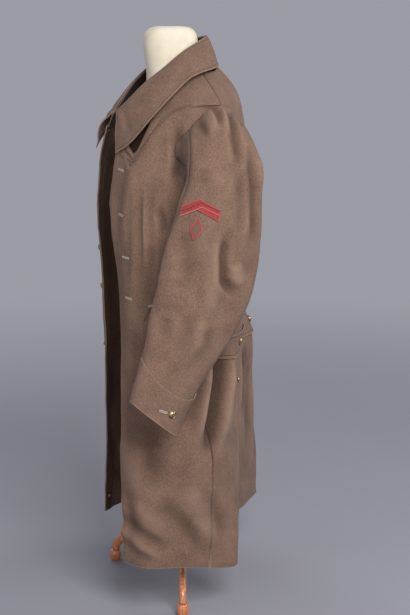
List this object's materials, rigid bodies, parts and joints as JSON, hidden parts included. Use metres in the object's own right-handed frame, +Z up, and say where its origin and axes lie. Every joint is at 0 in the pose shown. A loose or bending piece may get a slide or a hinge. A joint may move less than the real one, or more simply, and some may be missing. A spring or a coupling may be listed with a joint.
{
  "type": "wool greatcoat on a limbless dress form with a tripod stand",
  "caption": "Long wool greatcoat worn open on a limbless dress form: broad turned-down collar, two-piece sleeves with turned cuffs, half belt and deep back vent, on a wooden tripod stand.",
  "frame": {"origin": "on the floor, at the middle of the footprint of everything built", "axes": "+Z up, the wearer faces -Y and the wearer's left sleeve is on the +X side"},
  "size_m": [0.6801, 0.4448, 1.35],
  "materials": {
    "wool": "matt",
    "wool_inside": "matt",
    "brass": "satin",
    "red_felt": "matt",
    "form_cloth": "matt",
    "varnished_wood": "gloss"
  },
  "bodies": {
    "root": {"front_left": "wool", "back_left": "wool", "front_right": "wool", "back_right": "wool", "facing_left": "wool_inside", "facing_right": "wool_inside", "vent_facing": "wool", "vent_underlap": "wool", "collar_stand": "wool", "collar_fall": "wool", "sleeve_top_left": "wool", "sleeve_under_left": "wool", "cuff_left": "wool", "sleeve_top_right": "wool", "sleeve_under_right": "wool", "cuff_right": "wool", "half_belt": "wool", "front_button_1": "brass", "front_button_2": "brass", "front_button_3": "brass", "front_button_4": "brass", "belt_button_1": "brass", "belt_button_2": "brass", "cuff_button_left": "brass", "cuff_button_right": "brass", "vent_button": "brass", "corner_button": "brass", "badge_chevron": "red_felt", "badge_lozenge": "red_felt", "form_torso": "form_cloth", "form_neck": "form_cloth", "stand_hub": "varnished_wood", "stand_pole": "varnished_wood", "stand_leg_1": "varnished_wood", "stand_leg_2": "varnished_wood", "stand_leg_3": "varnished_wood", "stand_foot_1": "varnished_wood", "stand_foot_2": "varnished_wood", "stand_foot_3": "varnished_wood"}
  },
  "joints": []
}
